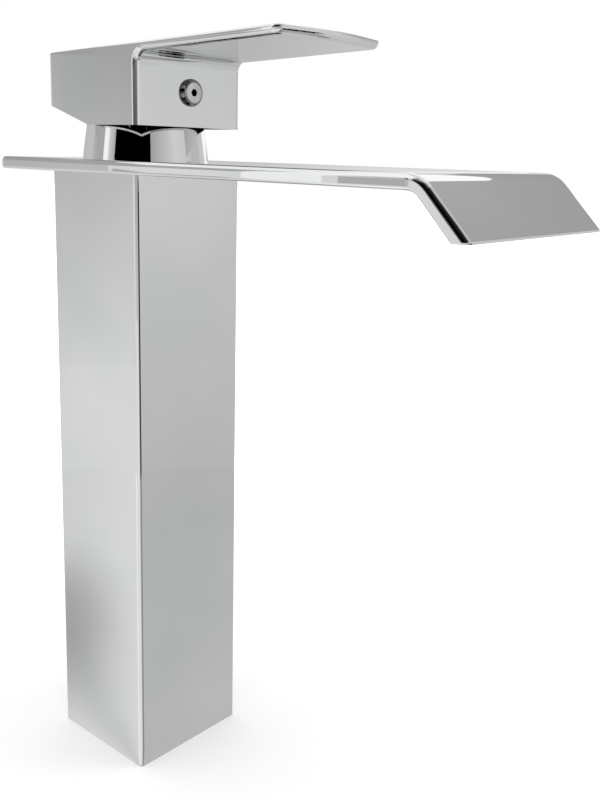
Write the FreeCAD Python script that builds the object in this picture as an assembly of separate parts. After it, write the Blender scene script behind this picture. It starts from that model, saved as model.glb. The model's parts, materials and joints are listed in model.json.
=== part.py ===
import FreeCAD, Part
import math
import os

# Waterfall basin faucet on a square column, with one lever. All sizes are in millimetres.
# +Z is up and the spout points along -Y. The origin is the middle of the column's foot.
# Hot water is on the -X side.

# column
column_width = 50.0
column_height = 229.4
column_wall = 2.0
column_edge_radius = 1.5

# foot block inside the column, with the two hose inlets and the stud hole
foot_block_height = 24.0
inlet_spacing = 18.0
inlet_back = -5.0
inlet_thread_radius = 5.0
inlet_thread_depth = 11.0
stud_back = 12.0
stud_thread_radius = 4.0
stud_thread_depth = 18.0
foot_seal_outer_radius = 22.0
foot_seal_width = 2.4
foot_seal_height = 2.0

# water tubes between foot block and valve body
tube_radius = 4.0
tube_wall = 1.0
tube_socket_depth = 8.0
tube_seal_section = 1.6
seal_chamfer = 0.35

# valve body in the column's head
valve_body_height = 36.0
valve_neck_wall = 1.4
valve_neck_height = 11.1
seat_depth = 9.4
port_jog_height = 2.0
gallery_height = 5.0
gallery_depth = 17.0
riser_radius = 2.4
riser_land = 0.8
spout_gasket_thickness = 1.0

# waterfall spout, a flat hollow plate whose front end bends down
spout_width = 75.0
spout_thickness = 4.5
spout_skin = 1.1
spout_side_wall = 3.6
spout_overhang = 15.6
spout_bend_reach = 151.4
spout_lip_length = 17.25
spout_lip_angle = 46.4
spout_bend_radius = 6.0
spout_corner_radius = 2.0
spout_edge_radius = 1.7
spout_under_radius = 1.0
spout_lip_edge_radius = 0.5
neck_ring_wall = 1.5

# ring nut that clamps the spout
clamp_nut_height = 3.0
clamp_nut_wall = 2.0

# ceramic cartridge
cartridge_base_thickness = 4.0
port_radius = 2.8
inlet_port_offset = 6.4
inlet_port_front = 4.6
outlet_port_back = 7.6
port_seal_section = 1.4
fixed_disc_thickness = 4.0
fixed_disc_side_gap = 0.45
moving_disc_thickness = 4.0
moving_disc_side_gap = 1.5
mixing_recess_depth = 2.0
mixing_recess_radius = 8.6
carrier_thickness = 4.4
carrier_side_gap = 0.9
carrier_flat_depth = 2.2
cartridge_wall = 2.1
rotor_flange_thickness = 3.0
rotor_flange_side_gap = 0.65
rotor_rise = 14.0
rotor_lug_thickness = 1.9
rotor_lug_length = 9.0
rotor_seal_section = 1.5
rotor_seal_rise = 4.6
shoulder_thickness = 1.9
shell_shoulder_width = 2.95
shell_neck_wall = 2.15
shell_neck_height = 7.4

# lever mechanism
pivot_above_seat = 23.0
pivot_pin_radius = 1.5
pivot_pin_inset = 0.5
stem_width = 8.0
stem_above_pivot = 21.0
stem_below_pivot = 4.6
stem_neck_radius = 1.9
ball_arm = 8.0
ball_radius = 2.4
lift_angle = 25.0

# cartridge nut and dress collar
nut_wall = 1.65
nut_flange_thickness = 2.3
nut_notch_width = 4.0
nut_notch_depth = 0.7
nut_notch_count = 6
collar_flare = 1.7
collar_waist_height = 12.3
collar_height = 17.3
collar_shoulder_radius = 3.0
collar_wall = 1.3
collar_mouth_gap = 1.4
collar_ring_section = 1.6

# handle
handle_width = 50.0
handle_front = 25.4
handle_back = 26.1
handle_foot_above_spout = 12.1
handle_height = 26.2
handle_wall = 2.35
handle_roof = 4.0
handle_edge_radius = 2.2
heel_height = 7.4
heel_length = 24.2
blade_reach = 95.2
blade_thickness = 3.2
blade_rise = 3.4
blade_root_radius = 3.4
blade_corner_radius = 3.5
blade_edge_radius = 0.9
blade_front_bow = 3.5
boss_radius = 7.6
boss_foot = 7.5
boss_relief_height = 4.5
boss_relief_start = 2.0
screw_web_width = 9.0
set_screw_height = 12.2
set_screw_radius = 2.5
set_screw_hex = 2.5
set_screw_socket_depth = 2.4
screw_head_radius = 4.9
screw_head_height = 1.9
screw_head_rounding = 1.5

# clearances
seat_fit = 0.05
thread_fit = 0.05
pin_fit = 0.05
running_gap = 0.3
disc_film = 0.02
collar_side_gap = 0.8
nut_side_gap = 0.12
touch = 0.001
ball_play = 0.35

# heights that follow from the sizes above
half_width = column_width / 2
inner_half = half_width - column_wall - seat_fit
inlet_x = inlet_spacing / 2
valve_foot_z = column_height - valve_body_height
valve_top_z = column_height - spout_gasket_thickness
chamber_z = valve_foot_z + tube_socket_depth
seat_z = column_height - seat_depth
neck_top_z = column_height + valve_neck_height
gallery_z = column_height - gallery_depth
spout_top_z = column_height + spout_thickness
spout_back_y = half_width + spout_overhang
lip_angle = math.radians(spout_lip_angle)
bend_start_y = spout_bend_radius * math.tan(lip_angle / 2) - spout_bend_reach
bend_centre_z = column_height - spout_bend_radius
lip_foot_z = column_height - spout_lip_length * math.sin(lip_angle)
fixed_disc_z = seat_z + cartridge_base_thickness
moving_disc_z = fixed_disc_z + fixed_disc_thickness + disc_film
carrier_z = moving_disc_z + moving_disc_thickness
rotor_z = carrier_z + carrier_thickness + running_gap
rotor_step_z = rotor_z + rotor_flange_thickness
rotor_top_z = rotor_z + rotor_rise
shoulder_foot_z = rotor_step_z + running_gap
shoulder_z = shoulder_foot_z + shoulder_thickness
pivot_z = seat_z + pivot_above_seat
disc_travel = ball_arm * math.radians(lift_angle)
disc_rest_y = disc_travel / 2
clamp_nut_top_z = spout_top_z + clamp_nut_height
nut_foot_z = clamp_nut_top_z + running_gap
nut_top_z = shoulder_z + nut_flange_thickness
collar_top_z = spout_top_z + collar_height
collar_ring_z = (nut_foot_z + shoulder_z) / 2
handle_foot_z = spout_top_z + handle_foot_above_spout
handle_top_z = handle_foot_z + handle_height
handle_roof_z = handle_top_z - handle_roof
set_screw_z = handle_foot_z + set_screw_height
stem_top_z = pivot_z + stem_above_pivot

# radii from the outside in: the handle clears the collar, which clears the nut on the neck
handle_hollow_half = handle_width / 2 - handle_wall
collar_waist_radius = handle_hollow_half - collar_side_gap
collar_foot_radius = collar_waist_radius + collar_flare
collar_slope = collar_flare / collar_waist_height
collar_inner_at_nut = collar_foot_radius - collar_slope * (nut_top_z - spout_top_z) - collar_wall
nut_outer_radius = collar_inner_at_nut - nut_side_gap
valve_neck_radius = nut_outer_radius - nut_wall - thread_fit
neck_ring_radius = valve_neck_radius + seat_fit + neck_ring_wall
riser_offset = (neck_ring_radius + riser_land + riser_radius) / math.sqrt(2)
cartridge_radius = valve_neck_radius - valve_neck_wall - seat_fit
cartridge_bore = cartridge_radius - cartridge_wall
fixed_disc_radius = cartridge_bore - fixed_disc_side_gap
moving_disc_radius = cartridge_bore - disc_rest_y - moving_disc_side_gap
carrier_radius = cartridge_bore - disc_rest_y - carrier_side_gap
carrier_half_width = carrier_radius - carrier_flat_depth
rotor_flange_radius = cartridge_bore - rotor_flange_side_gap
shell_neck_radius = cartridge_radius - shell_shoulder_width
rotor_radius = shell_neck_radius - shell_neck_wall - pin_fit
collar_mouth_radius = shell_neck_radius + collar_mouth_gap
overlap = 1.0

nodes = {}


def vec(x, y, z):
    return FreeCAD.Vector(x, y, z)


def rod(radius, low, high, x=0.0, y=0.0):
    return Part.makeCylinder(radius, high - low, vec(x, y, low))


def cross_rod(radius, start, end, direction):
    return Part.makeCylinder(radius, (end - start).Length, start, direction)


def ring(outer, inner, low, high, x=0.0, y=0.0):
    return rod(outer, low, high, x, y).cut(rod(inner, low - overlap, high + overlap, x, y))


def block(low, high):
    size = high - low
    return Part.makeBox(size.x, size.y, size.z, low)


def turned(points):
    # turns an outline of (radius, height) points about the Z axis
    corners = [vec(radius, 0, height) for radius, height in points]
    face = Part.Face(Part.makePolygon(corners + corners[:1]))
    return face.revolve(vec(0, 0, 0), vec(0, 0, 1), 360)


def seal_ring(outer, section, height, x=0.0, y=0.0):
    # a square-section ring with chamfered corners, centred on a height
    inner = outer - section
    low = height - section / 2
    high = height + section / 2
    seal = turned([
        (inner + seal_chamfer, low), (outer - seal_chamfer, low),
        (outer, low + seal_chamfer), (outer, high - seal_chamfer),
        (outer - seal_chamfer, high), (inner + seal_chamfer, high),
        (inner, high - seal_chamfer), (inner, low + seal_chamfer),
    ])
    seal.translate(vec(x, y, 0))
    return seal


def edges_where(shape, test):
    return [edge for edge in shape.Edges if test(edge)]


def stands_upright(edge):
    box = edge.BoundBox
    return box.XLength < touch and box.YLength < touch


def join(first, *others):
    return first.fuse(list(others)).removeSplitter()


def column_shell():
    tube = block(vec(-half_width, -half_width, 0), vec(half_width, half_width, column_height))
    tube = tube.makeFillet(column_edge_radius, edges_where(tube, stands_upright))
    inner = half_width - column_wall
    return tube.cut(block(vec(-inner, -inner, -overlap), vec(inner, inner, column_height + overlap)))


def foot_block():
    body = block(vec(-inner_half, -inner_half, 0), vec(inner_half, inner_half, foot_block_height))
    for side in (-1, 1):
        x = side * inlet_x
        body = body.cut(rod(inlet_thread_radius, -overlap, inlet_thread_depth, x, inlet_back))
        body = body.cut(rod(tube_radius - tube_wall, 0, foot_block_height, x, inlet_back))
        body = body.cut(tube_socket(x, foot_block_height - tube_socket_depth, foot_block_height + overlap))
        body = body.cut(tube_seal_groove(x, foot_seal_z()))
    body = body.cut(rod(stud_thread_radius, -overlap, stud_thread_depth, 0, stud_back))
    groove_inner = foot_seal_outer_radius - foot_seal_width
    return body.cut(ring(foot_seal_outer_radius, groove_inner, -overlap, foot_seal_height))


def foot_seal():
    outer = foot_seal_outer_radius - seat_fit
    inner = foot_seal_outer_radius - foot_seal_width + seat_fit
    return ring(outer, inner, 0, foot_seal_height)


def foot_seal_z():
    return foot_block_height - tube_socket_depth / 2


def head_seal_z():
    return valve_foot_z + tube_socket_depth / 2


def tube_socket(x, low, high):
    return rod(tube_radius + seat_fit, low, high, x, inlet_back)


def tube_seal_groove(x, height):
    half = tube_seal_section / 2
    return rod(tube_radius + tube_seal_section + seat_fit, height - half, height + half, x, inlet_back)


def water_tube(side):
    low = foot_block_height - tube_socket_depth
    high = valve_foot_z + tube_socket_depth
    return ring(tube_radius, tube_radius - tube_wall, low, high, side * inlet_x, inlet_back)


def tube_seals():
    seals = []
    for side in (-1, 1):
        for height in (foot_seal_z(), head_seal_z()):
            outer = tube_radius + tube_seal_section
            seals.append(seal_ring(outer, tube_seal_section - pin_fit, height, side * inlet_x, inlet_back))
    return Part.makeCompound(seals)


def valve_body():
    body = block(vec(-inner_half, -inner_half, valve_foot_z), vec(inner_half, inner_half, valve_top_z))
    body = join(body, rod(valve_neck_radius, valve_top_z, neck_top_z))
    body = body.cut(rod(cartridge_radius + seat_fit, seat_z, neck_top_z + overlap))
    for side in (-1, 1):
        x = side * inlet_x
        port_x = side * inlet_port_offset
        jog_z = chamber_z + port_jog_height
        body = body.cut(tube_socket(x, valve_foot_z - overlap, chamber_z))
        body = body.cut(tube_seal_groove(x, head_seal_z()))
        body = body.cut(rod(tube_radius - tube_wall, chamber_z, jog_z, x, inlet_back))
        body = body.cut(rod(port_radius, chamber_z, seat_z + overlap, port_x, -inlet_port_front))
        riser_x = side * riser_offset
        body = body.cut(rod(riser_radius, gallery_z, valve_top_z + overlap, riser_x, riser_offset))
    # the gallery takes the mixed water from the outlet port to the two risers
    low = vec(-riser_offset, riser_offset - riser_radius, gallery_z)
    high = vec(riser_offset, riser_offset + riser_radius, gallery_z + gallery_height)
    body = body.cut(block(low, high))
    low = vec(-port_radius, outlet_port_back - port_radius, gallery_z)
    high = vec(port_radius, riser_offset, gallery_z + gallery_height)
    body = body.cut(block(low, high))
    return body.cut(rod(port_radius, gallery_z, seat_z + overlap, 0, outlet_port_back))


def spout_gasket():
    low = valve_top_z - overlap
    high = column_height + overlap
    sheet = block(vec(-inner_half, -inner_half, valve_top_z), vec(inner_half, inner_half, column_height))
    sheet = sheet.cut(rod(valve_neck_radius + seat_fit, low, high))
    for side in (-1, 1):
        sheet = sheet.cut(rod(riser_radius, low, high, side * riser_offset, riser_offset))
    return sheet


def bent_strip(back, inset, half_span, foot_z):
    # a strip that lies flat from the back, bends down by the lip angle and is cut off level
    low_z = column_height + inset
    high_z = spout_top_z - inset
    low_radius = spout_bend_radius + inset
    high_radius = spout_bend_radius + spout_thickness - inset

    def on_arc(radius, turn):
        return vec(0, bend_start_y - radius * math.sin(turn), bend_centre_z + radius * math.cos(turn))

    def down_to_foot(point):
        drop = point.z - foot_z
        return point - vec(0, drop / math.tan(lip_angle), drop)

    low_start = on_arc(low_radius, 0)
    low_end = on_arc(low_radius, lip_angle)
    high_start = on_arc(high_radius, 0)
    high_end = on_arc(high_radius, lip_angle)
    low_back = vec(0, back, low_z)
    high_back = vec(0, back, high_z)
    outline = [
        Part.LineSegment(low_back, low_start).toShape(),
        Part.Arc(low_start, on_arc(low_radius, lip_angle / 2), low_end).toShape(),
        Part.LineSegment(low_end, down_to_foot(low_end)).toShape(),
        Part.LineSegment(down_to_foot(low_end), down_to_foot(high_end)).toShape(),
        Part.LineSegment(down_to_foot(high_end), high_end).toShape(),
        Part.Arc(high_end, on_arc(high_radius, lip_angle / 2), high_start).toShape(),
        Part.LineSegment(high_start, high_back).toShape(),
        Part.LineSegment(high_back, low_back).toShape(),
    ]
    face = Part.Face(Part.Wire(outline))
    face.translate(vec(-half_span, 0, 0))
    return face.extrude(vec(2 * half_span, 0, 0))


def height_off_bend(point):
    # how far a point of the strip lies from the bend's axis, square to the strip's faces
    ahead = bend_start_y - point.y
    above = point.z - bend_centre_z
    turn = min(max(math.atan2(ahead, above), 0), lip_angle)
    return ahead * math.sin(turn) + above * math.cos(turn)


def waterfall_spout():
    half_span = spout_width / 2
    plate = bent_strip(spout_back_y, 0.0, half_span, lip_foot_z)
    plate = plate.makeFillet(spout_corner_radius, edges_where(plate, stands_upright))

    def on_lip_end(edge):
        return edge.BoundBox.ZMax < lip_foot_z + touch

    def on_rim(edge, height):
        box = edge.BoundBox
        across = box.XLength > half_span and box.YMax < half_width
        middle = edge.valueAt((edge.FirstParameter + edge.LastParameter) / 2)
        on_height = abs(height_off_bend(middle) - height) < touch
        return on_height and not (across or on_lip_end(edge))

    def on_upper_rim(edge):
        return on_rim(edge, spout_bend_radius + spout_thickness)

    def on_lower_rim(edge):
        return on_rim(edge, spout_bend_radius)

    plate = plate.makeFillet(spout_edge_radius, edges_where(plate, on_upper_rim))
    plate = plate.makeFillet(spout_under_radius, edges_where(plate, on_lower_rim))
    plate = plate.makeFillet(spout_lip_edge_radius, edges_where(plate, on_lip_end))
    channel_half = half_span - spout_side_wall
    channel = bent_strip(spout_back_y - spout_side_wall, spout_skin, channel_half, lip_foot_z - overlap)
    channel = channel.cut(rod(neck_ring_radius, column_height - overlap, spout_top_z + overlap))
    plate = plate.cut(channel)
    plate = plate.cut(rod(valve_neck_radius + seat_fit, column_height - overlap, spout_top_z + overlap))
    for side in (-1, 1):
        riser_x = side * riser_offset
        floor_top = column_height + spout_thickness / 2
        plate = plate.cut(rod(riser_radius, column_height - overlap, floor_top, riser_x, riser_offset))
    return plate


def clamp_nut():
    inner = valve_neck_radius + thread_fit
    nut = ring(inner + clamp_nut_wall, inner, spout_top_z, clamp_nut_top_z)
    return nut.cut(nut_notches(inner + clamp_nut_wall, spout_top_z, clamp_nut_top_z))


def nut_notches(radius, low, high):
    notch_low = vec(-nut_notch_width / 2, radius - nut_notch_depth, low - overlap)
    notch_high = vec(nut_notch_width / 2, radius + overlap, high + overlap)
    notch = block(notch_low, notch_high)
    notches = []
    for index in range(nut_notch_count):
        turned_notch = notch.copy()
        turned_notch.rotate(vec(0, 0, 0), vec(0, 0, 1), index * 360 / nut_notch_count)
        notches.append(turned_notch)
    return Part.makeCompound(notches)


def port_centres():
    hot = (-inlet_port_offset, -inlet_port_front)
    cold = (inlet_port_offset, -inlet_port_front)
    outlet = (0.0, outlet_port_back)
    return [hot, cold, outlet]


def cartridge_base():
    base = rod(cartridge_radius, seat_z, fixed_disc_z)
    low = seat_z - overlap
    for x, y in port_centres():
        base = base.cut(rod(port_radius, low, fixed_disc_z + overlap, x, y))
        base = base.cut(rod(port_radius + port_seal_section, low, seat_z + port_seal_section, x, y))
    return base


def port_seals():
    seals = []
    for x, y in port_centres():
        outer = port_radius + port_seal_section - seat_fit
        seals.append(ring(outer, port_radius, seat_z, seat_z + port_seal_section, x, y))
    return Part.makeCompound(seals)


def fixed_disc():
    top_z = fixed_disc_z + fixed_disc_thickness
    disc = rod(fixed_disc_radius, fixed_disc_z, top_z)
    for x, y in port_centres():
        disc = disc.cut(rod(port_radius, fixed_disc_z - overlap, top_z + overlap, x, y))
    return disc


def moving_disc():
    disc = rod(moving_disc_radius, moving_disc_z, carrier_z, 0, disc_rest_y)
    # the recess joins the outlet to the inlets only once the disc has moved forward
    recess_y = disc_rest_y + moving_disc_radius - mixing_recess_radius - mixing_recess_depth
    recess_top_z = moving_disc_z + mixing_recess_depth
    return disc.cut(rod(mixing_recess_radius, moving_disc_z - overlap, recess_top_z, 0, recess_y))


def disc_carrier():
    top_z = carrier_z + carrier_thickness
    body = rod(carrier_radius, carrier_z, top_z, 0, disc_rest_y)
    trim_low = vec(-carrier_half_width, -cartridge_radius, carrier_z - overlap)
    trim_high = vec(carrier_half_width, cartridge_radius, top_z + overlap)
    body = body.common(block(trim_low, trim_high))
    return body.cut(rod(ball_radius + ball_play, carrier_z - overlap, top_z + overlap))


def cartridge_shell():
    bore = rotor_radius + pin_fit
    shell = ring(cartridge_radius, cartridge_bore, fixed_disc_z, shoulder_foot_z)
    roof = ring(cartridge_radius, bore, shoulder_foot_z, shoulder_z)
    neck = ring(shell_neck_radius, bore, shoulder_z, shoulder_z + shell_neck_height)
    return join(shell, roof, neck)


def rotor_seal():
    return seal_ring(rotor_radius, rotor_seal_section, shoulder_z + rotor_seal_rise)


def rotor_seal_groove():
    low = shoulder_z + rotor_seal_rise - rotor_seal_section / 2
    inner = rotor_radius - rotor_seal_section - seat_fit
    return ring(rotor_radius + overlap, inner, low, low + rotor_seal_section)


def rotor():
    flange = rod(rotor_flange_radius, rotor_z, rotor_step_z)
    body = join(flange, rod(rotor_radius, rotor_step_z, rotor_top_z))
    for side in (-1, 1):
        near = side * (carrier_half_width + running_gap)
        far = side * (carrier_half_width + running_gap + rotor_lug_thickness)
        low = vec(min(near, far), -rotor_lug_length / 2, carrier_z + running_gap)
        high = vec(max(near, far), rotor_lug_length / 2, rotor_z)
        body = join(body, block(low, high))
    # the slot gives the stem room to tilt both above and below the pivot
    slot_half = stem_width / 2 + running_gap
    tilt = math.radians(lift_angle)
    rise = max(rotor_top_z - pivot_z, pivot_z - rotor_z)
    slot_reach = stem_width / 2 / math.cos(tilt) + rise * math.tan(tilt) + running_gap
    slot_low = vec(-slot_half, -slot_reach, rotor_z - overlap)
    slot_high = vec(slot_half, slot_reach, rotor_top_z + overlap)
    body = body.cut(block(slot_low, slot_high))
    body = body.cut(pivot_rod(pivot_pin_radius, rotor_radius))
    return body.cut(rotor_seal_groove())


def pivot_rod(radius, reach):
    # a rod along the lift axis, as far to both sides
    return cross_rod(radius, vec(-reach, 0, pivot_z), vec(reach, 0, pivot_z), vec(1, 0, 0))


def pivot_pin():
    return pivot_rod(pivot_pin_radius, rotor_radius - pivot_pin_inset)


def lever_stem():
    half = stem_width / 2
    shank = block(vec(-half, -half, pivot_z - stem_below_pivot), vec(half, half, stem_top_z))
    ball_z = pivot_z - ball_arm
    neck = rod(stem_neck_radius, ball_z, pivot_z - stem_below_pivot + overlap)
    ball = Part.makeSphere(ball_radius, vec(0, 0, ball_z))
    stem = join(shank, neck, ball)
    return stem.cut(pivot_rod(pivot_pin_radius + pin_fit, stem_width))


def cartridge_nut():
    inner = valve_neck_radius + thread_fit
    nut = ring(nut_outer_radius, inner, nut_foot_z, shoulder_z)
    flange = ring(nut_outer_radius, shell_neck_radius + running_gap, shoulder_z, nut_top_z)
    nut = join(nut, flange)
    nut = nut.cut(nut_notches(nut_outer_radius, shoulder_z + overlap, nut_top_z))
    half_ring = collar_ring_section / 2
    groove_inner = collar_ring_radius() - collar_ring_section - seat_fit
    groove_outer = nut_outer_radius + overlap
    return nut.cut(ring(groove_outer, groove_inner, collar_ring_z - half_ring, collar_ring_z + half_ring))


def collar_radius_at(height):
    # outer radius of the collar's cone at a height
    return collar_foot_radius - collar_slope * (height - spout_top_z)


def collar_ring_radius():
    # the ring just clears the collar's inside at its upper edge, where the cone is narrower
    return collar_radius_at(collar_ring_z + collar_ring_section / 2) - collar_wall - seat_fit


def collar_ring():
    return seal_ring(collar_ring_radius(), collar_ring_section, collar_ring_z)


def rounded_cone(foot_z, foot_radius, top_z, top_radius, rounding):
    cone = turned([(0, foot_z), (foot_radius, foot_z), (top_radius, top_z), (0, top_z)])

    def on_rim(edge):
        return edge.BoundBox.ZMin > top_z - touch and edge.BoundBox.XLength > top_radius

    return cone.makeFillet(rounding, edges_where(cone, on_rim))


def collar():
    outer = rounded_cone(spout_top_z, collar_foot_radius, collar_top_z, collar_radius_at(collar_top_z),
                         collar_shoulder_radius)
    roof_z = collar_top_z - collar_wall
    below_z = spout_top_z - overlap
    hollow = rounded_cone(below_z, collar_radius_at(below_z) - collar_wall,
                          roof_z, collar_radius_at(roof_z) - collar_wall,
                          collar_shoulder_radius - collar_wall)
    shell = outer.cut(hollow)
    return shell.cut(rod(collar_mouth_radius, roof_z - overlap, collar_top_z + overlap))


def top_slope():
    return blade_rise / (blade_reach + handle_back)


def top_height_at(y):
    # the top face climbs in one plane from the block's back edge to the blade's tip
    return handle_top_z + (handle_back - y) * top_slope()


def handle_side_outline():
    # seen from the side: a block with a sloping heel at the back and the blade at its front
    root_z = top_height_at(-handle_front) - blade_thickness
    beyond_y = -blade_reach - overlap
    points = [
        (handle_back, handle_foot_z + heel_height),
        (handle_back, handle_top_z),
        (beyond_y, top_height_at(beyond_y)),
        (beyond_y, top_height_at(beyond_y) - blade_thickness),
        (-handle_front, root_z),
        (-handle_front, handle_foot_z),
        (handle_back - heel_length, handle_foot_z),
    ]
    corners = [vec(0, y, z) for y, z in points]
    return Part.Face(Part.makePolygon(corners + corners[:1]))


def handle_plan():
    # seen from above: a rectangle whose front end is a shallow arc
    half = handle_width / 2
    left = vec(-half, blade_corner_y(), handle_foot_z)
    right = vec(half, blade_corner_y(), handle_foot_z)
    back_left = vec(-half, handle_back, handle_foot_z)
    back_right = vec(half, handle_back, handle_foot_z)
    outline = [
        Part.Arc(left, vec(0, -blade_reach, handle_foot_z), right).toShape(),
        Part.LineSegment(right, back_right).toShape(),
        Part.LineSegment(back_right, back_left).toShape(),
        Part.LineSegment(back_left, left).toShape(),
    ]
    return Part.Face(Part.Wire(outline)).extrude(vec(0, 0, 2 * handle_height))


def blade_corner_y():
    return blade_front_bow - blade_reach


def handle():
    half = handle_width / 2
    face = handle_side_outline()
    face.translate(vec(-half, 0, 0))
    body = face.extrude(vec(handle_width, 0, 0)).common(handle_plan())
    root_z = top_height_at(-handle_front) - blade_thickness

    def at_blade_corner(edge):
        return stands_upright(edge) and edge.BoundBox.YMax < blade_corner_y() + touch

    def at_root(edge):
        box = edge.BoundBox
        in_corner = abs(box.ZMin - root_z) < touch and abs(box.YMin + handle_front) < touch
        return in_corner and box.XLength > half

    def at_block_corner(edge):
        middle_y = edge.BoundBox.Center.y
        at_end = abs(middle_y + handle_front) < touch or abs(middle_y - handle_back) < touch
        return stands_upright(edge) and at_end

    def on_top(edge):
        middle = edge.valueAt((edge.FirstParameter + edge.LastParameter) / 2)
        return abs(middle.z - top_height_at(middle.y)) < touch

    body = body.makeFillet(blade_corner_radius, edges_where(body, at_blade_corner))
    body = body.makeFillet(blade_root_radius, edges_where(body, at_root))
    body = body.makeFillet(handle_edge_radius, edges_where(body, at_block_corner))
    body = body.makeFillet(blade_edge_radius, edges_where(body, on_top))
    body = body.cut(handle_hollow())
    body = join(body, handle_boss())
    half_socket = stem_width / 2 + seat_fit
    socket_low = vec(-half_socket, -half_socket, handle_foot_z)
    socket_high = vec(half_socket, half_socket, stem_top_z + running_gap)
    body = body.cut(block(socket_low, socket_high))
    return body.cut(screw_rod(set_screw_radius + thread_fit, -handle_front - overlap, 0))


def screw_rod(radius, start_y, end_y):
    # a rod on the set screw's line
    return cross_rod(radius, vec(0, start_y, set_screw_z), vec(0, end_y, set_screw_z), vec(0, 1, 0))


def handle_hollow():
    low = vec(-handle_hollow_half, -handle_front + handle_wall, handle_foot_z - overlap)
    return block(low, vec(handle_hollow_half, handle_back - handle_wall, handle_roof_z))


def handle_boss():
    foot = handle_foot_z + boss_foot
    boss = rod(boss_radius, foot, handle_roof_z + overlap)
    web = block(vec(-screw_web_width / 2, -handle_front + handle_wall / 2, foot),
                vec(screw_web_width / 2, 0, handle_roof_z + overlap))
    boss = join(boss, web)
    # the back of the boss stays clear of the cartridge when the lever is up
    relief_low = vec(-boss_radius, boss_relief_start, foot - overlap)
    relief_high = vec(boss_radius, boss_radius + overlap, foot + boss_relief_height)
    return boss.cut(block(relief_low, relief_high))


def set_screw():
    # a domed head on the block's front face, and a shank whose tip presses on the stem
    head_y = -handle_front - screw_head_height
    head = screw_rod(screw_head_radius, head_y, -handle_front)

    def on_front_rim(edge):
        return edge.BoundBox.YMax < head_y + touch and edge.BoundBox.XLength > screw_head_radius

    head = head.makeFillet(screw_head_rounding, edges_where(head, on_front_rim))
    screw = join(head, screw_rod(set_screw_radius, -handle_front, -stem_width / 2))
    corner = set_screw_hex / math.sqrt(3)
    points = []
    for index in range(7):
        angle = math.radians(60 * index)
        x = corner * math.cos(angle)
        points.append(vec(x, head_y - overlap, set_screw_z + corner * math.sin(angle)))
    socket = Part.Face(Part.makePolygon(points)).extrude(vec(0, set_screw_socket_depth + overlap, 0))
    return screw.cut(socket)


def build():
    nodes["column_shell"] = column_shell()
    nodes["foot_block"] = foot_block()
    nodes["foot_seal"] = foot_seal()
    nodes["hot_tube"] = water_tube(-1)
    nodes["cold_tube"] = water_tube(1)
    nodes["tube_seals"] = tube_seals()
    nodes["valve_body"] = valve_body()
    nodes["spout_gasket"] = spout_gasket()
    nodes["waterfall_spout"] = waterfall_spout()
    nodes["clamp_nut"] = clamp_nut()
    nodes["cartridge_base"] = cartridge_base()
    nodes["port_seals"] = port_seals()
    nodes["fixed_disc"] = fixed_disc()
    nodes["moving_disc"] = moving_disc()
    nodes["disc_carrier"] = disc_carrier()
    nodes["cartridge_shell"] = cartridge_shell()
    nodes["rotor"] = rotor()
    nodes["rotor_seal"] = rotor_seal()
    nodes["pivot_pin"] = pivot_pin()
    nodes["lever_stem"] = lever_stem()
    nodes["cartridge_nut"] = cartridge_nut()
    nodes["collar_ring"] = collar_ring()
    nodes["collar"] = collar()
    nodes["handle"] = handle()
    nodes["set_screw"] = set_screw()


build()
os.makedirs("parts", exist_ok=True)
for name, shape in nodes.items():
    shape.exportStep("parts/" + name + ".step")
    box = shape.BoundBox
    print("%-16s valid %s solids %d volume %.1f  x %.2f..%.2f y %.2f..%.2f z %.2f..%.2f" % (
        name, shape.isValid(), len(shape.Solids), shape.Volume,
        box.XMin, box.XMax, box.YMin, box.YMax, box.ZMin, box.ZMax))
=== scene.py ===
import bpy
import json
import math
from mathutils import Matrix, Vector


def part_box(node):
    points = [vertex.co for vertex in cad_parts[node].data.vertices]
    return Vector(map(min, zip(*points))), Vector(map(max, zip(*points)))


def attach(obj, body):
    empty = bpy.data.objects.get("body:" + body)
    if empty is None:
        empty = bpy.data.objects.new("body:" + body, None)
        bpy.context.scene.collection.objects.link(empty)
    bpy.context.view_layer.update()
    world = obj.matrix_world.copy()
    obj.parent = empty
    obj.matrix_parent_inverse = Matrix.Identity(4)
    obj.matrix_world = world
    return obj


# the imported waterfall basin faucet: its nodes keep their shapes and get their finishes here
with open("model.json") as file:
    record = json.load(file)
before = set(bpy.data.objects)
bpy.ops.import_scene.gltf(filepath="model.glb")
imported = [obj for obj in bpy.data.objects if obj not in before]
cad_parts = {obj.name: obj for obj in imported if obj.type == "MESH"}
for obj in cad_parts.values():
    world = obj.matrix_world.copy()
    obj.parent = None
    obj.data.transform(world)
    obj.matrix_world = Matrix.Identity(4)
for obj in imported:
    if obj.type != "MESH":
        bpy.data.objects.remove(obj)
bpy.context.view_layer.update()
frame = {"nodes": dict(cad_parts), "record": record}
cad = frame["nodes"]
mounts = {mount["name"]: mount for mount in frame["record"]["mounts"]}


# helpers that build node trees

nodeSpacing = 200
mixSockets = {"factor": 0, "first": 6, "second": 7, "result": 2}  # where a Mix node keeps its colours
socketKinds = {1: "NodeSocketFloat", 3: "NodeSocketVector", 4: "NodeSocketColor"}  # by a value's length
white = (1, 1, 1, 1)


def greyColour(grey):
    return (grey, grey, grey, 1.0)


def addNode(tree, kind, spot, **values):
    node = tree.nodes.new(kind)
    node.location = (spot[0] * nodeSpacing, spot[1] * nodeSpacing)
    for name, value in values.items():
        setattr(node, name, value)
    return node


def wire(tree, source, target):
    tree.links.new(source, target)


def objectPlace(tree, spot):
    return addNode(tree, "ShaderNodeTexCoord", spot).outputs["Object"]


def noiseTexture(tree, spot, vector, settings):
    node = addNode(tree, "ShaderNodeTexNoise", spot)
    for label, value in settings.items():
        node.inputs[label].default_value = value
    wire(tree, vector, node.inputs["Vector"])
    return node.outputs["Fac"]


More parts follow.
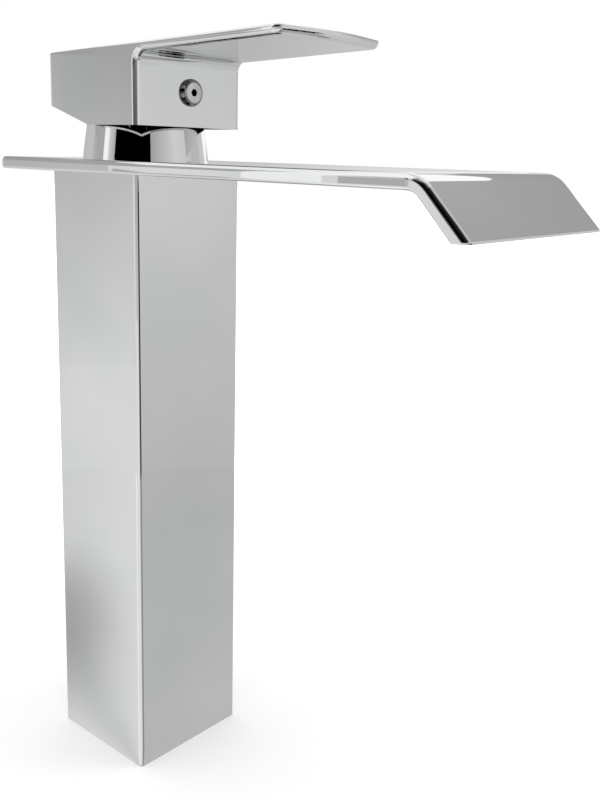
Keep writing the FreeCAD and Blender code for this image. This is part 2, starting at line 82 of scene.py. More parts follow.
def vectorLength(tree, spot, vector):
    node = addNode(tree, "ShaderNodeVectorMath", spot, operation="LENGTH")
    wire(tree, vector, node.inputs[0])
    return node.outputs["Value"]


def remap(tree, spot, value, source, target=(0.0, 1.0)):
    node = addNode(tree, "ShaderNodeMapRange", spot)
    for label, bound in zip(("From Min", "From Max", "To Min", "To Max"), (*source, *target)):
        node.inputs[label].default_value = bound
    wire(tree, value, node.inputs["Value"])
    return node.outputs["Result"]


def mathStep(tree, spot, operation, *values):
    node = addNode(tree, "ShaderNodeMath", spot, operation=operation)
    for index, value in enumerate(values):
        if isinstance(value, (int, float)):
            node.inputs[index].default_value = value
        else:
            wire(tree, value, node.inputs[index])
    return node.outputs["Value"]


def mixColour(tree, spot, factor, first, second):
    node = addNode(tree, "ShaderNodeMix", spot, data_type="RGBA")
    for label, value in (("factor", factor), ("first", first), ("second", second)):
        socket = node.inputs[mixSockets[label]]
        if isinstance(value, (int, float, tuple)):
            socket.default_value = value
        else:
            wire(tree, value, socket)
    return node.outputs[mixSockets["result"]]


def multiplyColour(tree, spot, first, second):
    product = mixColour(tree, spot, 1.0, first, second)
    product.node.blend_type = "MULTIPLY"
    return product


def rayShare(tree, spot, *rays):
    # 1 for any of these kinds of ray, else 0
    lightPath = addNode(tree, "ShaderNodeLightPath", spot)
    share = lightPath.outputs[rays[0]]
    for step, ray in enumerate(rays[1:], 1):
        share = mathStep(tree, (spot[0] + 2 * step, spot[1]), "MAXIMUM", share, lightPath.outputs[ray])
    return share


def newGroup(name, inputs, outputs):
    group = bpy.data.node_groups.new(name, "ShaderNodeTree")
    for label, value in inputs.items():
        parts = len(value) if isinstance(value, tuple) else 1
        socket = group.interface.new_socket(label, in_out="INPUT", socket_type=socketKinds[parts])
        socket.default_value = value
    for label in outputs:
        kind = "NodeSocketColor" if label == "Color" else "NodeSocketFloat"
        group.interface.new_socket(label, in_out="OUTPUT", socket_type=kind)
    start = addNode(group, "NodeGroupInput", (-8, 0))
    end = addNode(group, "NodeGroupOutput", (8, 0))
    return group, start, end


# camera, placed by the photograph's perspective of column, plate and lever

camera = {
    "place": (-0.2359, -0.2928, 0.2383),
    "yaw": 49.48,  # degrees from +Y towards +X
    "pitch": -10.62,
    "roll": 1.52,
    "lens": 42.847,
    "shift": (-0.02766, -0.08603),
    "clipStart": 0.01,
}


def makeCamera():
    yaw = math.radians(camera["yaw"])
    pitch = math.radians(camera["pitch"])
    roll = math.radians(camera["roll"])
    ahead = Vector((math.cos(pitch) * math.sin(yaw), math.cos(pitch) * math.cos(yaw), math.sin(pitch)))
    right = ahead.cross(Vector((0, 0, 1))).normalized()
    up = right.cross(ahead)
    rolledRight = math.cos(roll) * right + math.sin(roll) * up
    rolledUp = math.cos(roll) * up - math.sin(roll) * right
    data = bpy.data.cameras.new("photoCamera")
    data.lens = camera["lens"]
    data.shift_x, data.shift_y = camera["shift"]
    data.clip_start = camera["clipStart"]
    item = bpy.data.objects.new("photoCamera", data)
    bpy.context.scene.collection.objects.link(item)
    turn = Matrix((rolledRight, rolledUp, -ahead)).transposed().to_4x4()
    item.matrix_world = Matrix.Translation(camera["place"]) @ turn
    bpy.context.scene.camera = item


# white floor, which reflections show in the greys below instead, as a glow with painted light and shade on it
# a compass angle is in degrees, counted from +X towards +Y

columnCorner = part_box("column_shell")[0]

whiteFloor = {
    "radius": 6.0,
    "corners": 96,
    "lit": 0.86,  # how bright sky and lamps leave it by themselves
    "turnsWhite": (0.1, 0.36),  # between these distances the camera sees it turn plain white
    # painted contact shadow: the floor's glow is darker at the foot
    "ringShade": [(0.0, 0.9), (0.05, 1.0), (0.2, 1.0), (0.3, 0.97), (1.0, 0.96)],  # grey by distance
    "sectorEye": (columnCorner[0], columnCorner[1], 0.0),  # the column's near edge
    # painted light and shade by compass angle: brighter sectors, and a painted shadow darkest from about -92
    # to -53 degrees
    "sectorLightAndShade": [  # grey by compass angle
        (-180, 1.12), (-146, 1.12), (-128, 1.3), (-108, 0.8), (-92, 0.6), (-76, 0.4), (-60, 0.32),
        (-54, 0.35), (-52, 0.72), (-20, 0.73), (40, 0.78), (64, 1.05), (92, 1.05), (104, 0.92),
        (112, 0.92), (120, 1.0), (128, 1.08), (134, 1.3), (152, 1.35), (168, 1.2), (180, 1.12),
    ],
    # one soft painted shadow of the tap on the floor
    "shadowPlace": (-0.074, 0.098, 0.0),
    "shadowTurn": 124,
    "shadowHalves": (0.1, 0.034, 1.0),
    "shadowBlur": (0.1, 1.2),  # from its full grey to none, in halves
    "shadowGrey": 0.62,
}


def addRamp(tree, spot, factor, stops):
    node = addNode(tree, "ShaderNodeValToRGB", spot)
    ramp = node.color_ramp
    while len(ramp.elements) > 1:
        ramp.elements.remove(ramp.elements[0])
    for index, (place, grey) in enumerate(stops):
        element = ramp.elements[0] if index == 0 else ramp.elements.new(place)
        element.position = place
        element.color = greyColour(grey)
    wire(tree, factor, node.inputs["Fac"])
    return node.outputs["Color"]


def compassRamp(tree, spot, place, bands):
    angle = addNode(tree, "ShaderNodeTexGradient", spot, gradient_type="RADIAL")
    wire(tree, place, angle.inputs["Vector"])
    stops = [((degrees + 180) / 360, grey) for degrees, grey in bands]
    return addRamp(tree, (spot[0] + 2, spot[1]), angle.outputs["Fac"], stops)


def paintedFloorReflection(tree, place, distance):
    # the floor's glow in reflections, with its painted shadows and painted light
    ringShade = addRamp(tree, (-6, 0), distance, whiteFloor["ringShade"])
    fromEye = addNode(tree, "ShaderNodeVectorMath", (-10, -2), operation="SUBTRACT")
    fromEye.inputs[1].default_value = whiteFloor["sectorEye"]
    wire(tree, place, fromEye.inputs[0])
    sectorLightAndShade = compassRamp(tree, (-8, -2), fromEye.outputs["Vector"], whiteFloor["sectorLightAndShade"])
    patch = addNode(tree, "ShaderNodeMapping", (-10, -4), vector_type="TEXTURE")
    patch.inputs["Location"].default_value = whiteFloor["shadowPlace"]
    patch.inputs["Rotation"].default_value = (0, 0, math.radians(whiteFloor["shadowTurn"]))
    patch.inputs["Scale"].default_value = whiteFloor["shadowHalves"]
    wire(tree, place, patch.inputs["Vector"])
    fromShadow = vectorLength(tree, (-8, -4), patch.outputs["Vector"])
    paintedShadow = remap(tree, (-6, -4), fromShadow, whiteFloor["shadowBlur"], (whiteFloor["shadowGrey"], 1.0))
    paintedShadow.node.interpolation_type = "SMOOTHSTEP"
    return multiplyColour(tree, (-2, -2), multiplyColour(tree, (-4, 0), ringShade, sectorLightAndShade), paintedShadow)


def floorMaterial():
    material = bpy.data.materials.new("paleFloor")
    material.use_nodes = True
    tree = material.node_tree
    place = objectPlace(tree, (-12, 0))
    distance = vectorLength(tree, (-8, 0), place)
    shader = tree.nodes["Principled BSDF"]
    shader.inputs["Base Color"].default_value = white
    shader.inputs["Emission Color"].default_value = white
    shader.inputs["Roughness"].default_value = 1.0
    shader.inputs["Specular IOR Level"].default_value = 0.0
    seen = rayShare(tree, (-8, 4), "Is Camera Ray", "Is Transmission Ray")
    lift = remap(tree, (-6, 2), distance, whiteFloor["turnsWhite"], (1 - whiteFloor["lit"], 1.0))
    wire(tree, mathStep(tree, (-2, 4), "MULTIPLY", seen, lift), shader.inputs["Emission Strength"])
    # reflections see this glow, with its painted shadows, instead of the lit floor
    glow = addNode(tree, "ShaderNodeEmission", (0, -2))
    wire(tree, paintedFloorReflection(tree, place, distance), glow.inputs["Color"])
    either = addNode(tree, "ShaderNodeMixShader", (2, 0))
    wire(tree, rayShare(tree, (0, 4), "Is Glossy Ray"), either.inputs["Fac"])
    wire(tree, shader.outputs["BSDF"], either.inputs[1])
    wire(tree, glow.outputs["Emission"], either.inputs[2])
    wire(tree, either.outputs["Shader"], tree.nodes["Material Output"].inputs["Surface"])
    return material


def makeFloor():
    bpy.ops.object.select_all(action="DESELECT")
    bpy.ops.mesh.primitive_circle_add(
        vertices=whiteFloor["corners"], radius=whiteFloor["radius"], fill_type="NGON")
    floor = bpy.context.object
    floor.name = "floor"
    floor.data.materials.append(floorMaterial())


# light tent round the tap that only reflections see: two walls in bands, and cards before them

lightTent = {
    "radius": 0.36,
    "sides": 180,
    "join": 0.24,  # height where the lower wall meets the upper wall
    "top": 1.1,
    "lowWall": [  # grey by compass angle
        (-180, 1.05), (-126, 1.15), (-116, 1.0), (-104, 0.6), (-97, 0.4), (-90, 0.03), (-61, 0.03),
        (-59, 0.8), (-40, 0.82), (0, 0.74), (26, 0.67), (38, 0.57), (52, 0.6), (62, 0.7), (84, 0.88),
        (116, 0.9), (126, 1.02), (140, 1.05), (180, 1.02),
    ],
    "highWall": [
        (-180, 0.3), (-122, 0.3), (-116, 0.55), (-107, 0.7), (-102, 1.15), (-92, 1.1), (-84, 0.95),
        (-60, 0.9), (-46, 0.88), (-38, 0.72), (-20, 0.72), (-8, 0.85), (4, 0.8), (12, 0.8), (26, 0.72),
        (38, 0.64), (48, 0.62), (66, 0.55), (76, 0.62), (96, 0.76), (118, 0.8), (127, 0.64), (136, 0.6),
        (147.5, 0.52), (150, 1.35), (158, 1.25), (162, 0.85), (172, 0.6), (180, 0.3),
    ],
    "cardGrid": (24, 8),
    "cardStep": 0.0005,  # each card hangs this much further in than the one before it
}

# a card's corners are lower left, lower right, upper right and upper left,
# each as (compass angle, height, grey); a later card hangs in front of an earlier one
cards = {
    "leftShade": [(118, 0.08, 0.93), (134, 0.08, 1.03), (134, 0.24, 0.74), (118, 0.24, 0.62)],
    "rightShade": [(-59, 0.0, 0.72), (-42, 0.0, 0.72), (-42, 0.22, 0.84), (-59, 0.22, 0.9)],
    "edgeShade": [(-168, 0.12, 0.95), (-100, 0.12, 0.8), (-102, 0.24, 0.5), (-168, 0.24, 0.55)],
    "overDark": [(-104, 0.216, 0.8), (-58, 0.216, 0.9), (-58, 0.246, 0.95), (-104, 0.246, 1.1)],
    "gapShade": [(134.5, 0.08, 0.65), (146, 0.08, 0.6), (146, 0.215, 0.48), (134.5, 0.224, 0.55)],
    "lowGap": [(160, 0.214, 0.62), (168, 0.214, 0.62), (168, 0.24, 0.6), (160, 0.24, 0.66)],
    "blockSide": [(118, 0.24, 0.74), (134.5, 0.24, 0.66), (134.5, 0.31, 0.54), (118, 0.31, 0.7)],
    "ceiling": [(38, 0.44, 1.2), (170, 0.44, 1.35), (170, 1.1, 1.5), (38, 1.1, 1.25)],
    "backDark": [(58, 0.3, 0.42), (146, 0.3, 0.6), (146, 0.41, 0.58), (58, 0.41, 0.36)],
    "backDarkTop": [(76, 0.41, 0.44), (132, 0.41, 0.58), (114, 0.5, 0.55), (84, 0.54, 0.55)],
    "brightStrip": [(149, 0.1, 1.3), (158, 0.1, 1.3), (160, 1.0, 1.6), (149, 1.0, 1.6)],
    "stripSide": [(158, 0.36, 1.3), (176, 0.36, 1.2), (176, 1.0, 1.4), (158, 1.0, 1.5)],
    "rightStrip": [(4, 0.255, 1.3), (31, 0.255, 1.3), (31, 0.29, 1.3), (4, 0.29, 1.3)],
    "highGrey": [(-118, 0.55, 0.55), (-60, 0.5, 0.7), (-60, 1.1, 0.7), (-118, 1.1, 0.55)],
    "besideFlag": [(-122, 0.3, 0.52), (-78, 0.3, 0.92), (-78, 0.46, 0.92), (-122, 0.46, 0.55)],
    "collarGrey": [(-52, 0.303, 0.64), (-22, 0.3, 0.7), (-22, 0.325, 0.7), (-52, 0.33, 0.5)],
    "frontCeiling": [(-54, 0.57, 1.2), (38, 0.56, 1.35), (38, 1.1, 1.5), (-64, 1.1, 1.4)],
    "highCard": [(-42, 0.325, 0.5), (10, 0.325, 0.38), (2, 0.5, 0.54), (-42, 0.5, 0.64)],
    "brightEdge": [(-16, 0.43, 1.4), (24, 0.36, 1.2), (30, 0.6, 1.2), (-10, 0.6, 1.3)],
    "flagFoot": [(-184, 0.232, 0.1), (-121, 0.24, 0.16), (-121, 0.3, 0.3), (-184, 0.29, 0.15)],
    "blackFlag": [(-188, 0.29, 0.0), (-121, 0.3, 0.0), (-121, 0.4, 0.0), (-184, 0.4, 0.0)],
    "blackFlagTop": [(-184, 0.4, 0.0), (-121, 0.4, 0.0), (-82, 0.57, 0.05), (-140, 0.76, 0.04)],
}


def glowMaterial(name, makeColour):
    material = bpy.data.materials.new(name)
    material.use_nodes = True
    tree = material.node_tree
    tree.nodes.clear()
    glow = addNode(tree, "ShaderNodeEmission", (0, 0))
    wire(tree, makeColour(tree), glow.inputs["Color"])
    end = addNode(tree, "ShaderNodeOutputMaterial", (2, 0))
    wire(tree, glow.outputs["Emission"], end.inputs["Surface"])
    return material


def onlyReflected(item):
    for ray in ("camera", "diffuse", "shadow", "transmission", "volume_scatter"):
        setattr(item, "visible_" + ray, False)


def addWall(name, low, high):
    bpy.ops.object.select_all(action="DESELECT")
    bpy.ops.mesh.primitive_cylinder_add(
        vertices=lightTent["sides"], radius=lightTent["radius"], depth=high - low,
        end_fill_type="NOTHING", location=(0, 0, (low + high) / 2))
    wall = bpy.context.object
    wall.name = name

    def byCompass(tree):
        return compassRamp(tree, (-8, 0), objectPlace(tree, (-10, 0)), lightTent[name])

    wall.data.materials.append(glowMaterial(name, byCompass))
    onlyReflected(wall)


def cardGlow(tree):
    return addNode(tree, "ShaderNodeAttribute", (-4, 0), attribute_name="glow").outputs["Color"]


def addCard(name, corners, radius, material):
    columns, rows = lightTent["cardGrid"]
    bpy.ops.object.select_all(action="DESELECT")
    bpy.ops.mesh.primitive_grid_add(x_subdivisions=columns, y_subdivisions=rows, size=2)
    card = bpy.context.object
    card.name = name
    glow = card.data.color_attributes.new(name="glow", type="FLOAT_COLOR", domain="POINT")
    # the flat grid spans -1 to 1 both ways; each of its points goes to its share of the four corners
    for vertex, shade in zip(card.data.vertices, glow.data):
        across, up = (vertex.co.x + 1) / 2, (vertex.co.y + 1) / 2
        shares = ((1 - across) * (1 - up), across * (1 - up), across * up, (1 - across) * up)
        compass, height, grey = (sum(share * corner[index] for share, corner in zip(shares, corners))
                                 for index in range(3))
        aside = math.radians(compass)
        vertex.co = (radius * math.cos(aside), radius * math.sin(aside), height)
        shade.color = greyColour(grey)
    card.data.materials.append(material)
    onlyReflected(card)


def makeTent():
    addWall("lowWall", 0.0, lightTent["join"])
    addWall("highWall", lightTent["join"], lightTent["top"])
    material = glowMaterial("cardGlow", cardGlow)
    for place, (name, corners) in enumerate(cards.items(), 1):
        addCard(name, corners, lightTent["radius"] - lightTent["cardStep"] * place, material)


# sky and lamps, soft and plain

softLight = {
    "skyFill": 0.78,  # the sky's strength on matt surfaces; seen directly or in a reflection it is white
    "lampAim": (0, 0, 0.12),
    "lampPower": 5.0,
    "lamps": {
        "keyLamp": {"place": (0.75, -0.9, 1.5), "size": 0.9},
        "topLamp": {"place": (-0.2, 0.3, 1.7), "size": 1.2},
    },
}


def makeSky():
    world = bpy.data.worlds.new("studioSky")
    bpy.context.scene.world = world
    world.use_nodes = True
    tree = world.node_tree
    back = tree.nodes["Background"]
    seen = rayShare(tree, (-8, 0), "Is Camera Ray", "Is Glossy Ray", "Is Transmission Ray")
    back.inputs["Color"].default_value = white
    wire(tree, remap(tree, (-2, 0), seen, (0, 1), (softLight["skyFill"], 1.0)), back.inputs["Strength"])


def addLamp(name, lamp):
    data = bpy.data.lights.new(name, "AREA")
    data.size = lamp["size"]
    data.energy = softLight["lampPower"]
    item = bpy.data.objects.new(name, data)
    bpy.context.scene.collection.objects.link(item)
    item.location = lamp["place"]
    aim = Vector(softLight["lampAim"]) - Vector(lamp["place"])
    item.rotation_euler = aim.to_track_quat("-Z", "Y").to_euler()
    item.visible_glossy = False


# finishes: one group for plating, one for worked metal, one for moulded skins
# "Shows" gives the noise values between which a pattern goes from none to full

finishOutputs = ("Color", "Roughness", "Height")

platingPattern = {
    "haze": {"Scale": 16.0, "Detail": 2.0, "Roughness": 0.5},
    "hazeShows": (0.35, 0.7),
    "lines": {"Scale": 900.0, "Detail": 4.0, "Roughness": 0.6},
    "smear": {"Scale": 55.0, "Detail": 4.0, "Roughness": 0.6},
    "smearShows": (0.4, 0.75),
    "pitScale": 420.0,
    "pitRadius": 0.12,
    "pitDepth": -0.4,
    "wave": {"Scale": 22.0, "Detail": 1.0, "Roughness": 0.5},
}

workedPattern = {
    "patches": {"Scale": 110.0, "Detail": 5.0, "Roughness": 0.6},
    "patchesShow": (0.42, 0.72),
    "lines": {"Scale": 1500.0, "Detail": 3.0, "Roughness": 0.6},
    "linesShow": (0.35, 0.75),
    "lineDirt": 0.4,
    "grain": {"Scale": 2200.0, "Detail": 3.0, "Roughness": 0.65},
}

mouldedPattern = {
    "drift": {"Scale": 70.0, "Detail": 3.0, "Roughness": 0.6},
    "driftShows": (0.35, 0.7),
    "grain": {"Scale": 2600.0, "Detail": 2.0, "Roughness": 0.6},
    "flow": {"Scale": 160.0, "Detail": 4.0, "Roughness": 0.55},
}


def stretchedNoise(group, spot, place, stretch, settings):
    scaled = addNode(group, "ShaderNodeVectorMath", (spot[0] - 2, spot[1]), operation="MULTIPLY")
    wire(group, place, scaled.inputs[0])
    wire(group, stretch, scaled.inputs[1])
    return noiseTexture(group, spot, scaled.outputs["Vector"], settings)


def spreadRoughness(group, spot, start, end, share):
    spread = mathStep(group, spot, "MULTIPLY", share, start.outputs["Roughness Spread"])
    rough = mathStep(group, (spot[0] + 2, spot[1]), "ADD", spread, start.outputs["Roughness"])
    wire(group, rough, end.inputs["Roughness"])


def platingGroup():
    # bright plating: slow change of tone, fine polishing lines, tiny pits and a slight wave in the face
    group, start, end = newGroup("brightPlating", {
        "Plate": (0.6, 0.61, 0.61, 1), "Haze": (0.66, 0.66, 0.66, 1), "Stretch": (1, 1, 1),
        "Roughness": 0.04, "Roughness Spread": 0.04, "Wave": 1.0, "Lines": 1.0}, finishOutputs)
    place = objectPlace(group, (-8, 4))
    haze = noiseTexture(group, (-5, 3), place, platingPattern["haze"])
    hazeShare = remap(group, (-3, 3), haze, platingPattern["hazeShows"])
    colour = mixColour(group, (0, 3), hazeShare, start.outputs["Plate"], start.outputs["Haze"])
    wire(group, colour, end.inputs["Color"])
    smear = noiseTexture(group, (-4, -2), place, platingPattern["smear"])
    smearShare = remap(group, (-2, -2), smear, platingPattern["smearShows"])
    spreadRoughness(group, (0, -2), start, end, smearShare)
    lines = stretchedNoise(group, (-4, 0), place, start.outputs["Stretch"], platingPattern["lines"])
    lineHeight = mathStep(group, (0, -4), "MULTIPLY", lines, start.outputs["Lines"])
    pits = addNode(group, "ShaderNodeTexVoronoi", (-4, -4))
    pits.inputs["Scale"].default_value = platingPattern["pitScale"]
    wire(group, place, pits.inputs["Vector"])
    pitHeight = remap(group, (-2, -4), pits.outputs["Distance"],
                      (0.0, platingPattern["pitRadius"]), (platingPattern["pitDepth"], 0.0))
    wave = noiseTexture(group, (-4, -6), place, platingPattern["wave"])
    waveHeight = mathStep(group, (-2, -6), "MULTIPLY", wave, start.outputs["Wave"])
    height = mathStep(group, (2, -4), "ADD", lineHeight, pitHeight)
    wire(group, mathStep(group, (4, -4), "ADD", height, waveHeight), end.inputs["Height"])
    return group


def workedGroup():
    # cast, turned or drawn metal: tarnish in patches, tool lines along the stretch, grain of the skin
    group, start, end = newGroup("workedMetal", {
        "Metal": (0.7, 0.5, 0.3, 1), "Tarnish": (0.4, 0.28, 0.16, 1), "Stretch": (1, 1, 1),
        "Roughness": 0.3, "Roughness Spread": 0.15, "Lines": 1.0, "Grain": 0.5}, finishOutputs)
    place = objectPlace(group, (-8, 4))
    patches = noiseTexture(group, (-6, 3), place, workedPattern["patches"])
    patchShare = remap(group, (-4, 3), patches, workedPattern["patchesShow"])
    lines = stretchedNoise(group, (-4, 0), place, start.outputs["Stretch"], workedPattern["lines"])
    lineShare = remap(group, (-2, 0), lines, workedPattern["linesShow"], (0.0, workedPattern["lineDirt"]))
    dirt = mathStep(group, (-2, 3), "MAXIMUM", patchShare, lineShare)
    colour = mixColour(group, (0, 3), dirt, start.outputs["Metal"], start.outputs["Tarnish"])
    wire(group, colour, end.inputs["Color"])
    spreadRoughness(group, (0, 0), start, end, dirt)
    grain = noiseTexture(group, (-4, -3), place, workedPattern["grain"])
    grainHeight = mathStep(group, (-2, -3), "MULTIPLY", grain, start.outputs["Grain"])
    lineHeight = mathStep(group, (-2, -5), "MULTIPLY", lines, start.outputs["Lines"])
    wire(group, mathStep(group, (0, -4), "ADD", grainHeight, lineHeight), end.inputs["Height"])
    return group


def mouldedGroup():
    # moulded, pressed or lapped skin: slow drift of tone, flow marks and fine grain
    group, start, end = newGroup("mouldedSkin", {
        "Skin": (0.8, 0.8, 0.8, 1), "Drift": (0.7, 0.7, 0.7, 1),
        "Roughness": 0.4, "Roughness Spread": 0.1, "Flow": 0.5, "Grain": 0.5}, finishOutputs)
    place = objectPlace(group, (-8, 4))
    drift = noiseTexture(group, (-6, 3), place, mouldedPattern["drift"])
    driftShare = remap(group, (-4, 3), drift, mouldedPattern["driftShows"])
    colour = mixColour(group, (0, 3), driftShare, start.outputs["Skin"], start.outputs["Drift"])
    wire(group, colour, end.inputs["Color"])
    spreadRoughness(group, (0, 0), start, end, driftShare)
    grain = noiseTexture(group, (-4, -3), place, mouldedPattern["grain"])
    grainHeight = mathStep(group, (-2, -3), "MULTIPLY", grain, start.outputs["Grain"])
    flow = noiseTexture(group, (-4, -5), place, mouldedPattern["flow"])
    flowHeight = mathStep(group, (-2, -5), "MULTIPLY", flow, start.outputs["Flow"])
    wire(group, mathStep(group, (0, -4), "ADD", grainHeight, flowHeight), end.inputs["Height"])
    return group


# painted reflection and shade on the set screw's head: a dark rim for the dark reflection round it, a black
# socket for the shade in its hole
screwHeadShade = {
    "faceRadius": 0.0032,
    "rimShadeBlend": 0.0006,  # over this width the face turns into the dark rim
    "rimShadeColour": (0.24, 0.24, 0.24, 1),
    "socketRadius": 0.0016,
    "socketStart": 0.00004,  # just behind the face
    "socketShadeColour": (0.01, 0.01, 0.01, 1),
}


def headPaintedShadeGroup():
    # the set screw's head seen from the front: light face, a rim painted dark round it as a painted
    # reflection, and the socket behind it painted black as painted shade
    group, start, end = newGroup("headPaintedShade", {
        "Color": (0.6, 0.6, 0.6, 1), "Rim Shade Color": screwHeadShade["rimShadeColour"], "Centre": (0, 0, 0),
        "Face Radius": screwHeadShade["faceRadius"], "Socket Radius": screwHeadShade["socketRadius"]}, ("Color",))
    fromCentre = addNode(group, "ShaderNodeVectorMath", (-6, 2), operation="SUBTRACT")
    wire(group, objectPlace(group, (-8, 4)), fromCentre.inputs[0])
    wire(group, start.outputs["Centre"], fromCentre.inputs[1])
    split = addNode(group, "ShaderNodeSeparateXYZ", (-4, 2))
    wire(group, fromCentre.outputs["Vector"], split.inputs["Vector"])
    squareX = mathStep(group, (-2, 3), "POWER", split.outputs["X"], 2.0)
    squareZ = mathStep(group, (-2, 1), "POWER", split.outputs["Z"], 2.0)
    radius = mathStep(group, (2, 2), "SQRT", mathStep(group, (0, 2), "ADD", squareX, squareZ))
    outside = mathStep(group, (4, 3), "SUBTRACT", radius, start.outputs["Face Radius"])
    rimShadeShare = remap(group, (5, 3), outside, (0.0, screwHeadShade["rimShadeBlend"]))
    colour = mixColour(group, (6, 3), rimShadeShare, start.outputs["Color"], start.outputs["Rim Shade Color"])
    behind = mathStep(group, (2, -1), "GREATER_THAN", split.outputs["Y"], screwHeadShade["socketStart"])
    inside = mathStep(group, (4, 0), "LESS_THAN", radius, start.outputs["Socket Radius"])
    socketShadeShare = mathStep(group, (5, -1), "MULTIPLY", behind, inside)
    wire(group, mixColour(group, (7, 2), socketShadeShare, colour, screwHeadShade["socketShadeColour"]), end.inputs["Color"])
    return group


# finish of each material slot: the group it uses and what that group's sockets are set to
looks = {
    "column_chrome": {"group": "plating", "bumpStrength": 0.3, "bumpDistance": 0.00002, "finish": {
        "Stretch": (1.0, 1.0, 0.03), "Roughness": 0.03, "Roughness Spread": 0.03, "Wave": 1.0, "Lines": 0.3}},
    "spout_chrome": {"group": "plating", "bumpStrength": 0.3, "bumpDistance": 0.00002, "finish": {
        "Stretch": (1.0, 0.03, 1.0), "Roughness": 0.02, "Roughness Spread": 0.02, "Wave": 0.5, "Lines": 0.3}},
    "collar_chrome": {"group": "plating", "bumpStrength": 0.3, "bumpDistance": 0.00002, "finish": {
        "Stretch": (1.0, 1.0, 2.0), "Roughness": 0.02, "Roughness Spread": 0.02, "Wave": 0.2, "Lines": 0.3}},
    "handle_chrome": {"group": "plating", "bumpStrength": 0.3, "bumpDistance": 0.00002, "finish": {
        "Stretch": (1.0, 0.03, 1.0), "Roughness": 0.02, "Roughness Spread": 0.02, "Wave": 0.6, "Lines": 0.3}},
    "set_screw_steel": {"group": "worked", "bumpStrength": 0.3, "bumpDistance": 0.00001, "finish": {
        "Metal": (0.56, 0.56, 0.57, 1), "Tarnish": (0.42, 0.42, 0.43, 1), "Stretch": (1.0, 8.0, 1.0),
        "Roughness": 0.05, "Roughness Spread": 0.05, "Lines": 0.5, "Grain": 0.2}},
    "cast_brass": {"group": "worked", "bumpStrength": 0.6, "bumpDistance": 0.00008, "finish": {
        "Metal": (0.72, 0.5, 0.2, 1), "Tarnish": (0.4, 0.26, 0.1, 1), "Stretch": (0.3, 0.3, 1.0),
        "Roughness": 0.34, "Roughness Spread": 0.25, "Lines": 0.3, "Grain": 1.0}},
    "nut_brass": {"group": "worked", "bumpStrength": 0.4, "bumpDistance": 0.00003, "finish": {
        "Metal": (0.78, 0.56, 0.24, 1), "Tarnish": (0.5, 0.33, 0.13, 1), "Stretch": (0.06, 0.06, 1.0),
        "Roughness": 0.2, "Roughness Spread": 0.15, "Lines": 1.0, "Grain": 0.1}},
    "tube_copper": {"group": "worked", "bumpStrength": 0.3, "bumpDistance": 0.00003, "finish": {
        "Metal": (0.8, 0.4, 0.24, 1), "Tarnish": (0.42, 0.18, 0.09, 1), "Stretch": (1.0, 1.0, 0.02),
        "Roughness": 0.22, "Roughness Spread": 0.2, "Lines": 0.8, "Grain": 0.2}},
    "pin_steel": {"group": "worked", "bumpStrength": 0.3, "bumpDistance": 0.00001, "finish": {
        "Metal": (0.6, 0.6, 0.61, 1), "Tarnish": (0.46, 0.46, 0.47, 1), "Stretch": (1.0, 1.0, 0.05),
        "Roughness": 0.16, "Roughness Spread": 0.1, "Lines": 0.8, "Grain": 0.1}},
    "seal_rubber": {"group": "moulded", "bumpStrength": 0.5, "bumpDistance": 0.00004, "finish": {
        "Skin": (0.018, 0.018, 0.02, 1), "Drift": (0.035, 0.034, 0.033, 1),
        "Roughness": 0.62, "Roughness Spread": 0.2, "Flow": 0.4, "Grain": 1.0}},
    "cartridge_plastic": {"group": "moulded", "bumpStrength": 0.3, "bumpDistance": 0.00003, "finish": {
        "Skin": (0.82, 0.82, 0.79, 1), "Drift": (0.74, 0.73, 0.69, 1),
        "Roughness": 0.36, "Roughness Spread": 0.12, "Flow": 0.6, "Grain": 0.4}},
    "rotor_plastic": {"group": "moulded", "bumpStrength": 0.3, "bumpDistance": 0.00003, "finish": {
        "Skin": (0.2, 0.22, 0.25, 1), "Drift": (0.26, 0.27, 0.29, 1),
        "Roughness": 0.42, "Roughness Spread": 0.12, "Flow": 0.6, "Grain": 0.6}},
    "disc_ceramic": {"group": "moulded", "bumpStrength": 0.15, "bumpDistance": 0.00001, "finish": {
        "Skin": (0.88, 0.86, 0.8, 1), "Drift": (0.8, 0.77, 0.7, 1),
        "Roughness": 0.14, "Roughness Spread": 0.08, "Flow": 0.2, "Grain": 0.5}},
}


def slotMaterial(slotName, look, group):
    material = bpy.data.materials.new(slotName + "_look")
    material.use_nodes = True
    tree = material.node_tree
    shader = tree.nodes["Principled BSDF"]
    shader.inputs["Metallic"].default_value = 0.0 if look["group"] == "moulded" else 1.0
    finish = addNode(tree, "ShaderNodeGroup", (-6, 0), node_tree=group)
    for label, value in look["finish"].items():
        finish.inputs[label].default_value = value
    wire(tree, finish.outputs["Color"], shader.inputs["Base Color"])
    wire(tree, finish.outputs["Roughness"], shader.inputs["Roughness"])
    bump = addNode(tree, "ShaderNodeBump", (-2, -2))
    bump.inputs["Strength"].default_value = look["bumpStrength"]
    bump.inputs["Distance"].default_value = look["bumpDistance"]
    wire(tree, finish.outputs["Height"], bump.inputs["Height"])
    wire(tree, bump.outputs["Normal"], shader.inputs["Normal"])
    return material


def paintScrewHeadShade(material):
    # painted reflection and painted shade set over the steel's own colour, round the middle of the head's
    # front
    tree = material.node_tree
    shader = tree.nodes["Principled BSDF"]
    low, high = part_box("set_screw")
    zones = addNode(tree, "ShaderNodeGroup", (-3, 2), node_tree=headPaintedShadeGroup())
    zones.inputs["Centre"].default_value = (0.0, low[1], (low[2] + high[2]) / 2)
    wire(tree, shader.inputs["Base Color"].links[0].from_socket, zones.inputs["Color"])
    wire(tree, zones.outputs["Color"], shader.inputs["Base Color"])


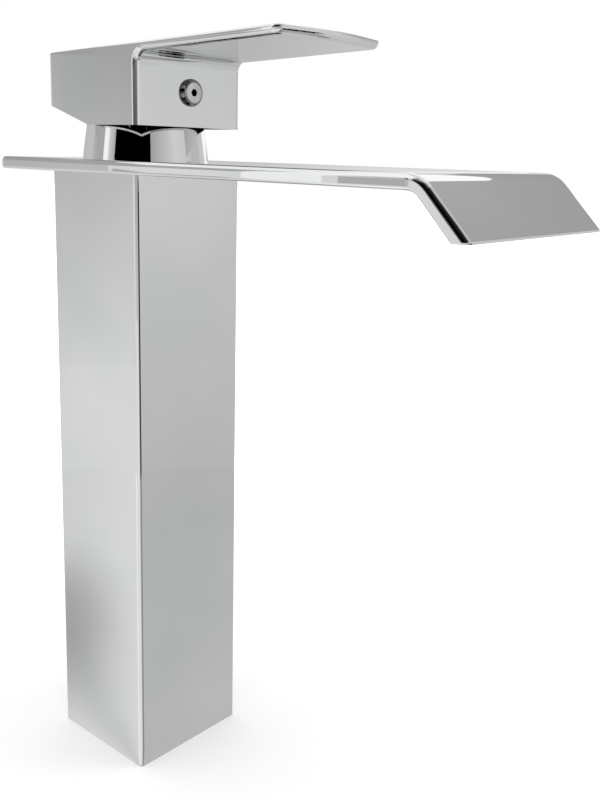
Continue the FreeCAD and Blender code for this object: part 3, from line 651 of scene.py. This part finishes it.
def dressNodes():
    groups = {"plating": platingGroup(), "worked": workedGroup(), "moulded": mouldedGroup()}
    made = {name: slotMaterial(name, look, groups[look["group"]]) for name, look in looks.items()}
    # the set screw's head gets its painted reflection and painted shade
    paintScrewHeadShade(made["set_screw_steel"])
    for item in cad.values():
        for slot in item.material_slots:
            if slot.material and slot.material.name in made:
                slot.material = made[slot.material.name]
    return made


# threads in the foot block's three holes: ridges that stand out of the holes' walls

threads = {
    "hotInletThread": {"mount": "hot_inlet", "pitch": 0.001, "tooth": 0.00043},
    "coldInletThread": {"mount": "cold_inlet", "pitch": 0.001, "tooth": 0.00043},
    "studHoleThread": {"mount": "stud_hole", "pitch": 0.00125, "tooth": 0.00053},
}
threadForm = {
    "standOut": 0.4,  # how far the tooth's middle stands out of the wall, in teeth
    "endClear": 0.0015,  # left free at the hole's end
    "stepsPerTurn": 48,
}


def addThread(name, thread, material):
    mount = mounts[thread["mount"]]
    radius = mount["dims"]["r_mm"] / 1000  # millimetres to metres
    length = mount["dims"]["length_mm"] / 1000
    tooth = thread["tooth"]
    bpy.ops.object.select_all(action="DESELECT")
    bpy.ops.mesh.primitive_circle_add(
        vertices=3, radius=tooth, fill_type="NOTHING", rotation=(math.pi / 2, -math.pi / 2, 0),
        location=(radius - tooth * threadForm["standOut"], 0, thread["pitch"]))
    ridge = bpy.context.object
    ridge.name = name
    bpy.ops.object.transform_apply(location=True, rotation=True, scale=True)
    bpy.ops.object.modifier_add(type="SCREW")
    turn = ridge.modifiers[-1]
    turn.axis = "Z"
    turn.screw_offset = thread["pitch"]
    turn.iterations = int((length - threadForm["endClear"]) / thread["pitch"])
    turn.steps = threadForm["stepsPerTurn"]
    turn.render_steps = threadForm["stepsPerTurn"]
    bpy.ops.object.modifier_apply(modifier=turn.name)
    bpy.ops.object.mode_set(mode="EDIT")
    bpy.ops.mesh.select_all(action="SELECT")
    bpy.ops.mesh.fill_holes(sides=0)
    bpy.ops.mesh.select_all(action="SELECT")
    bpy.ops.mesh.normals_make_consistent(inside=False)
    bpy.ops.object.mode_set(mode="OBJECT")
    ridge.location = (mount["pos_m"][0], mount["pos_m"][1], 0)
    bpy.ops.object.transform_apply(location=True, rotation=True, scale=True)
    ridge.data.materials.append(material)
    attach(ridge, "faucet_body")


bpy.context.scene.view_settings.view_transform = "Standard"
makeCamera()
print("camera: looks down by", -camera["pitch"], "degrees")
makeFloor()
makeTent()
print("studio: white floor and a tent with", len(cards), "cards")
makeSky()
for lampName, lampSizes in softLight["lamps"].items():
    addLamp(lampName, lampSizes)
print("light: sky and", len(softLight["lamps"]), "lamps")
finishes = dressNodes()
print("finishes:", len(finishes), "on", len(cad), "nodes")
for threadName, threadSizes in threads.items():
    addThread(threadName, threadSizes, finishes["cast_brass"])
print("threads:", len(threads), "in the foot block")
